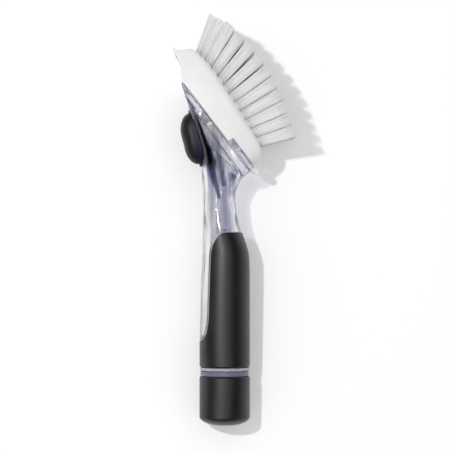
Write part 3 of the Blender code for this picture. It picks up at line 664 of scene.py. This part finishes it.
def filament_pattern():
    """One filament as a unit rod: a primitive with three stretches, read as rows of points and faces."""
    bpy.ops.object.select_all(action="DESELECT")
    bpy.ops.mesh.primitive_cylinder_add(vertices=4, radius=1.0, depth=1.0, end_fill_type="NGON")
    rod = bpy.context.object
    bpy.ops.object.mode_set(mode="EDIT")
    bpy.ops.mesh.select_all(action="SELECT")
    bpy.ops.mesh.bisect(plane_co=(0, 0, strand_joint_share), plane_no=(0, 0, 1))
    bpy.ops.mesh.select_all(action="SELECT")
    bpy.ops.mesh.bisect(plane_co=(0, 0, -strand_joint_share), plane_no=(0, 0, 1))
    bpy.ops.object.mode_set(mode="OBJECT")
    points = np.array([vertex.co for vertex in rod.data.vertices])
    faces = [list(face.vertices) for face in rod.data.polygons]
    bpy.data.objects.remove(rod, do_unlink=True)
    return points, faces


def tuft_filaments(width, base, tip, trim, count, fill, rng):
    """Root, middle and tip of a tuft's filaments, packed in a round hole and splayed towards the tips."""
    turn = math.pi * (3 - math.sqrt(5))
    k = np.arange(count)
    radius = fill * np.sqrt((k + 0.5) / count)
    x, z = radius * np.cos(turn * k), radius * np.sin(turn * k)
    tuft_radius, splay = sizes().tuft_radius, sizes().splay_along * width
    across = z * tuft_radius * root_share_across
    root = base + np.stack((x * tuft_radius * width, np.full(count, -root_depth), across), 1)
    # A tuft leaves a round hole and opens to a square with soft corners
    corner = (radius / np.maximum(np.abs(x), np.abs(z))) ** tip_corner_power
    spread_x = x * corner * splay + fill * rng.normal(0.0, tip_scatter, count)
    spread_z = z * corner * splay_across * tip_share_across + fill * rng.normal(0.0, tip_scatter, count)
    spread_z = np.clip(spread_z, -splay_across, splay_across)
    end = tip + spread_x[:, None] * np.array(trim) + spread_z[:, None] * np.array((0.0, 0.0, 1.0))
    direction = (tip - base) / np.linalg.norm(tip - base)
    short = (1 - fill) * core_shortfall + np.abs(rng.normal(0.0, trim_scatter, count))
    end -= direction * short[:, None]
    bow = rng.normal(0.0, strand_bow, (count, 3))
    return root, (root + end) / 2 + bow, end


def place_rods(roots, middles, ends, points, faces, radius):
    """Copies of the unit rod along bent lines, as one mesh's points, faces and places along the rod."""
    share = points[:, 2] + 0.5
    a, b, c = roots[:, None, :], middles[:, None, :], ends[:, None, :]
    t = share[None, :, None]
    line = a * (1 - t) ** 2 + 2 * t * (1 - t) * (2 * b - (a + c) / 2) + c * t**2
    axis = ends - roots
    axis /= np.linalg.norm(axis, axis=1)[:, None]
    side = np.cross(axis, (0.0, 0.0, 1.0))
    side /= np.linalg.norm(side, axis=1)[:, None]
    other = np.cross(axis, side)
    width = radius[:, None, None] * (1.0 - tip_taper_share * share)[None, :, None]
    section = points[None, :, 0:1] * side[:, None, :] + points[None, :, 1:2] * other[:, None, :]
    rods = line + width * section
    count = len(points)
    placed = [[corner + count * i for corner in face] for i in range(len(roots)) for face in faces]
    return rods.reshape(-1, 3), placed, np.tile(share, len(roots))


def thread_ridge():
    """Points and faces of the neck's right-hand thread in the brush's frame. It runs out at both ends."""
    foot, crest = thread_foot / 2, thread_crest / 2
    points = []
    for step in range(thread_steps + 1):
        share = step / thread_steps
        turns = thread_turns * share
        angle = 2 * math.pi * turns
        rise = thread_end_share + thread_rise_rate * min(share, 1 - share)
        height = thread_height * min(1.0, rise)
        for out, along in ((0.0, -foot), (height, -crest), (height, crest), (0.0, foot)):
            radius = thread_radius + out
            up = thread_start + thread_pitch * turns + along
            points.append((radius * math.sin(angle), up, radius * math.cos(angle)))
    faces = [(3, 2, 1, 0), tuple(4 * thread_steps + i for i in range(4))]
    for step in range(thread_steps):
        for i in range(4):
            low, high = 4 * step + i, 4 * step + (i + 1) % 4
            faces.append((low, high, high + 4, low + 4))
    return points, faces


def neck_thread():
    """The thread as a piece of its own."""
    points, faces = thread_ridge()
    data = bpy.data.meshes.new("neck_thread")
    data.from_pydata(points, [], faces)
    data.transform(brush_frame())
    piece = bpy.data.objects.new("neck_thread", data)
    bpy.context.scene.collection.objects.link(piece)
    select_only(piece)
    bpy.ops.object.mode_set(mode="EDIT")
    bpy.ops.mesh.select_all(action="SELECT")
    bpy.ops.mesh.normals_make_consistent(inside=False)
    bpy.ops.object.mode_set(mode="OBJECT")
    bpy.ops.object.shade_smooth_by_angle(angle=math.radians(40))
    return piece


class SCRUBBRUSH_OT_clear_handle(bpy.types.Operator):
    """Dress the clear handle with its rounded edges, and give its neck the thread"""

    bl_idname = "scrubbrush.clear_handle"
    bl_label = "Clear Handle"

    def execute(self, context):
        piece = rounded_copy("handle_body", "clear_handle", 0.3 * mm)
        clear = clear_copolyester()
        finish_piece(piece, clear, "handle", "clear", "handle_body")
        piece.data.materials.append(frosted_copolyester())
        inverse = brush_frame().inverted()
        low, high = collar_band
        for face in piece.data.polygons:
            centre = inverse @ face.center
            if low < centre.y < high and math.hypot(centre.x, centre.z) > collar_radius:
                face.material_index = 1
        finish_piece(neck_thread(), clear, "handle", "clear")
        return {"FINISHED"}


class SCRUBBRUSH_OT_soft_grip(bpy.types.Operator):
    """Dress the soft grip"""

    bl_idname = "scrubbrush.soft_grip"
    bl_label = "Soft Grip"

    def execute(self, context):
        piece = rounded_copy("grip_sleeve", "soft_grip", 0.25 * mm)
        material = moulded_elastomer("soft_elastomer_grip", colours().elastomer, 0.44, 0.62, 0.45 * mm)
        finish_piece(piece, material, "handle", "grip", "grip_sleeve")
        return {"FINISHED"}


class SCRUBBRUSH_OT_cap(bpy.types.Operator):
    """Dress the screw cap, its liner and the gasket"""

    bl_idname = "scrubbrush.cap"
    bl_label = "Screw Cap"

    def execute(self, context):
        cap = rounded_copy("cap_skin", "cap_cover", 0.3 * mm)
        material = moulded_elastomer("soft_elastomer_cap", colours().elastomer, 0.44, 0.62, 0.45 * mm)
        finish_piece(cap, material, "cap", "grip", "cap_skin")
        ring = rounded_copy("cap_gasket", "gasket_ring", 0.2 * mm)
        elastomer = translucent_elastomer("translucent_elastomer_ring", colours().gasket_grey, 0.3)
        finish_piece(ring, elastomer, "gasket", "gasket", "cap_gasket")
        dress_node("cap_core", moulded_elastomer("black_polypropylene_core", "#1e1e22", 0.4, 0.5, 0.6 * mm))
        dress_node("cap_liner", translucent_elastomer("translucent_silicone_liner", "#c8c8cc", 0.3))
        return {"FINISHED"}


class SCRUBBRUSH_OT_button(bpy.types.Operator):
    """Dress the push button, its frame and the valve"""

    bl_idname = "scrubbrush.button"
    bl_label = "Button and Valve"

    def execute(self, context):
        dome = rounded_copy("button", "button_dome", 0.3 * mm)
        rubber = moulded_elastomer("silicone_rubber_button", colours().button_rubber, 0.45, 0.36, 0.5 * mm)
        finish_piece(dome, rubber, "button", "button", "button")
        seat = rounded_copy("button_frame", "button_seat", 0.2 * mm)
        dark = moulded_elastomer("black_polypropylene_frame", "#16142c", 0.45, 0.3, 0.6 * mm)
        finish_piece(seat, dark, "handle", "frame", "button_frame")
        silicone = translucent_elastomer("translucent_silicone_valve", "#c8c8cc", 0.3)
        dress_node("soap_valve", silicone)
        dress_node("spout_washer", silicone)
        dress_node("valve_retainer", white_polypropylene())
        return {"FINISHED"}


class SCRUBBRUSH_OT_head(bpy.types.Operator):
    """Dress the white head and its release tab"""

    bl_idname = "scrubbrush.head"
    bl_label = "Head and Tab"

    def execute(self, context):
        white = white_polypropylene()
        shell = rounded_copy("brush_head", "head_shell", 0.5 * mm)
        finish_piece(shell, white, "head", "white", "brush_head")
        tab = rounded_copy("release_tab", "head_tab", 0.5 * mm)
        finish_piece(tab, white, "tab", "white", "release_tab")
        return {"FINISHED"}


class SCRUBBRUSH_OT_bed(bpy.types.Operator):
    """Model the scalloped bed that the tufts stand in"""

    bl_idname = "scrubbrush.bed"
    bl_label = "Bristle Bed"

    def execute(self, context):
        start = column_start(0)
        length = column_start(len(tuft_counts)) - start
        bpy.ops.object.select_all(action="DESELECT")
        steps_along = len(tuft_counts) * bed_steps_along
        bpy.ops.mesh.primitive_grid_add(x_subdivisions=steps_along, y_subdivisions=bed_steps_across, size=1.0)
        piece = bpy.context.object
        piece.name = "bristle_bed"
        for vertex in piece.data.vertices:
            along = start + (vertex.co.x + 0.5) * length
            height, _ = head_row(along)
            rise = bed_rise + mound_height * bed_phase(along)
            vertex.co = (along, height + rise, -2 * vertex.co.y * bed_edge(along))
        bpy.ops.object.mode_set(mode="EDIT")
        bpy.ops.mesh.select_all(action="SELECT")
        bpy.ops.mesh.extrude_region_move(TRANSFORM_OT_translate={"value": (0.0, -bed_depth, 0.0)})
        bpy.ops.mesh.select_all(action="SELECT")
        bpy.ops.mesh.normals_make_consistent(inside=False)
        bpy.ops.object.mode_set(mode="OBJECT")
        bevel = piece.modifiers.new("edge_rounding", "BEVEL")
        bevel.width = bed_edge_radius
        bevel.segments = round_segments
        bevel.angle_limit = math.radians(smooth_degrees)
        bpy.ops.object.modifier_apply(modifier=bevel.name)
        piece.data.transform(platform_frame())
        bpy.ops.object.shade_smooth_by_angle(angle=math.radians(40))
        finish_piece(piece, bpy.data.materials["white_polypropylene_moulded"], "head", "white")
        return {"FINISHED"}


class SCRUBBRUSH_OT_tufts(bpy.types.Operator):
    """Model the nylon tufts, filament by filament"""

    bl_idname = "scrubbrush.tufts"
    bl_label = "Nylon Tufts"

    def execute(self, context):
        rng = np.random.default_rng(7)
        points, faces = filament_pattern()
        nylon = nylon_filament()
        every = tufts()
        place = platform_frame()
        first = 0
        for number, wide in enumerate(slice_counts, 1):
            columns = range(first, first + wide)
            first += wide
            # A tuft's filaments are drawn one by one, round a few thick strands that fill its core
            lines, widths = [], []
            for tuft in (tuft for tuft in every if tuft[0] in columns):
                for count, fill, width in (
                    (sizes().filaments_per_tuft, 1.0, sizes().filament_diameter),
                    (core_strands, core_fill, core_strand_diameter * tuft[1]),
                ):
                    lines.append(tuft_filaments(*tuft[1:], count, fill, rng))
                    widths.append(np.full(count, width / 2))
            roots, middles, ends = (np.concatenate(part) for part in zip(*lines))
            radius = np.concatenate(widths)
            corners, placed, reach = place_rods(roots, middles, ends, points, faces, radius)
            data = bpy.data.meshes.new(f"nylon_tufts_{number}")
            data.from_pydata(corners.tolist(), [], placed)
            data.transform(place)
            tone = np.repeat(rng.random(len(roots)), len(points))
            for name, values in (("reach", reach), ("tone", tone)):
                attribute = data.attributes.new(name, "FLOAT", "POINT")
                attribute.data.foreach_set("value", values.astype(np.float32))
            data.shade_smooth()
            piece = bpy.data.objects.new(f"nylon_tufts_{number}", data)
            context.scene.collection.objects.link(piece)
            finish_piece(piece, nylon, "head", "nylon", f"bristle_block_{number}")
        return {"FINISHED"}


class SCRUBBRUSH_OT_stage(bpy.types.Operator):
    """Set up the pale floor, the soft light and the camera over the brush"""

    bl_idname = "scrubbrush.stage"
    bl_label = "Stage"

    def execute(self, context):
        self.floor()
        self.lights(context)
        self.camera(context)
        context.scene.view_settings.view_transform = "Standard"
        return {"FINISHED"}

    def floor(self):
        bpy.ops.object.select_all(action="DESELECT")
        bpy.ops.mesh.primitive_plane_add(size=40.0, location=(0.0, 0.0, 0.0))
        floor = bpy.context.object
        floor.name = "pale_floor"
        material, tree, output = blank_material("pale_floor_paper")
        # Plain light leaves the floor a little grey, and what the camera sees of it gets the rest
        paper = add_node(tree, "ShaderNodeBsdfDiffuse", {"Color": linear(colours().floor_white)})
        path = add_node(tree, "ShaderNodeLightPath")
        seen = self.seen(tree, path)
        glow = add_node(tree, "ShaderNodeEmission", {"Color": plain_white})
        strength = add_node(tree, "ShaderNodeMath", {"operation": "MULTIPLY"})
        strength.inputs[1].default_value = floor_glow
        tree.links.new(seen, strength.inputs[0])
        tree.links.new(strength.outputs[0], glow.inputs["Strength"])
        both = add_node(tree, "ShaderNodeAddShader")
        tree.links.new(paper.outputs[0], both.inputs[0])
        tree.links.new(glow.outputs[0], both.inputs[1])
        tree.links.new(both.outputs[0], output.inputs["Surface"])
        floor.data.materials.append(material)

    def seen(self, tree, path):
        """One for rays that show the surface itself: from the camera, off gloss and through glass."""
        first = add_node(tree, "ShaderNodeMath", {"operation": "MAXIMUM"})
        second = add_node(tree, "ShaderNodeMath", {"operation": "MAXIMUM"})
        tree.links.new(path.outputs["Is Camera Ray"], first.inputs[0])
        tree.links.new(path.outputs["Is Glossy Ray"], first.inputs[1])
        tree.links.new(first.outputs[0], second.inputs[0])
        tree.links.new(path.outputs["Is Transmission Ray"], second.inputs[1])
        return second.outputs[0]

    def room(self, tree):
        """What gloss and clear plastic show of the room: dim walls and a white ceiling, a bit to the left."""
        place = add_node(tree, "ShaderNodeTexCoord")
        upward = add_node(tree, "ShaderNodeVectorMath", {"operation": "DOT_PRODUCT"})
        upward.inputs[1].default_value = Vector(ceiling_towards).normalized()
        tree.links.new(place.outputs["Generated"], upward.inputs[0])
        band = add_node(tree, "ShaderNodeValToRGB")
        band.color_ramp.interpolation = "EASE"
        for spot, colour in room_tones:
            stop = band.color_ramp.elements.new(spot)
            stop.color = linear(colour)
        band.color_ramp.elements.remove(band.color_ramp.elements[0])
        tree.links.new(upward.outputs["Value"], band.inputs["Fac"])
        return band.outputs["Color"]

    def lights(self, context):
        world = bpy.data.worlds.new("soft_studio")
        world.use_nodes = True
        tree = world.node_tree
        tree.nodes.clear()
        output = tree.nodes.new("ShaderNodeOutputWorld")
        path = add_node(tree, "ShaderNodeLightPath")
        soft = add_node(tree, "ShaderNodeBackground", {"Color": plain_white, "Strength": soft_strength})
        white = add_node(tree, "ShaderNodeBackground", {"Color": plain_white, "Strength": 1.0})
        room = add_node(tree, "ShaderNodeBackground", {"Strength": 1.0}, Color=self.room(tree))
        shown = add_node(tree, "ShaderNodeMixShader")
        tree.links.new(self.seen(tree, path), shown.inputs[0])
        tree.links.new(soft.outputs[0], shown.inputs[1])
        tree.links.new(room.outputs[0], shown.inputs[2])
        mix = add_node(tree, "ShaderNodeMixShader")
        tree.links.new(path.outputs["Is Camera Ray"], mix.inputs[0])
        tree.links.new(shown.outputs[0], mix.inputs[1])
        tree.links.new(white.outputs[0], mix.inputs[2])
        tree.links.new(mix.outputs[0], output.inputs["Surface"])
        context.scene.world = world
        towards = Vector(key_towards).normalized()
        bpy.ops.object.light_add(type="AREA", location=towards * key_distance)
        key = bpy.context.object
        key.name = "key_softbox"
        key.data.shape = "DISK"
        key.data.size = key_size
        key.data.energy = key_power
        key.rotation_euler = towards.to_track_quat("Z", "Y").to_euler()

    def camera(self, context):
        scale, distance = sizes().photo_scale, sizes().camera_distance
        right = (middle_pixel[0] - cap_end_pixel[0]) * scale
        up = (cap_end_pixel[1] - middle_pixel[1]) * scale
        place = brush_frame() @ Vector((right, up, distance))
        bpy.ops.object.camera_add(location=place, rotation=brush_frame().to_euler())
        camera = bpy.context.object
        camera.name = "overhead_camera"
        camera.data.lens = camera.data.sensor_width * distance / (picture_side * scale)
        context.scene.camera = camera


class SCRUBBRUSH_PT_panel(bpy.types.Panel):
    """Sizes, colours and steps of the scrub brush"""

    bl_idname = "SCRUBBRUSH_PT_panel"
    bl_label = "Scrub Brush"
    bl_space_type = "VIEW_3D"
    bl_region_type = "UI"
    bl_category = "Scrub Brush"

    def draw(self, context):
        for group in (sizes(), colours()):
            for name in group.bl_rna.properties.keys():
                if name not in ("rna_type", "name"):
                    self.layout.prop(group, name)
        for operator in operators:
            self.layout.operator(operator.bl_idname)


operators = (
    SCRUBBRUSH_OT_clear_handle,
    SCRUBBRUSH_OT_soft_grip,
    SCRUBBRUSH_OT_cap,
    SCRUBBRUSH_OT_button,
    SCRUBBRUSH_OT_head,
    SCRUBBRUSH_OT_bed,
    SCRUBBRUSH_OT_tufts,
    SCRUBBRUSH_OT_stage,
)


def register():
    """Register the classes and hang the settings on the scene."""
    for item in (ScrubBrushSizes, ScrubBrushColours, *operators, SCRUBBRUSH_PT_panel):
        bpy.utils.register_class(item)
    bpy.types.Scene.scrub_brush_sizes = bpy.props.PointerProperty(type=ScrubBrushSizes)
    bpy.types.Scene.scrub_brush_colours = bpy.props.PointerProperty(type=ScrubBrushColours)


def unregister():
    """Take the settings and classes away."""
    del bpy.types.Scene.scrub_brush_colours
    del bpy.types.Scene.scrub_brush_sizes
    for item in (SCRUBBRUSH_PT_panel, *reversed(operators), ScrubBrushColours, ScrubBrushSizes):
        bpy.utils.unregister_class(item)


def main():
    """Build every piece and the stage."""
    register()
    bpy.ops.scrubbrush.clear_handle()
    bpy.ops.scrubbrush.soft_grip()
    bpy.ops.scrubbrush.cap()
    bpy.ops.scrubbrush.button()
    bpy.ops.scrubbrush.head()
    bpy.ops.scrubbrush.bed()
    bpy.ops.scrubbrush.tufts()
    bpy.ops.scrubbrush.stage()


if __name__ == "__main__":
    main()
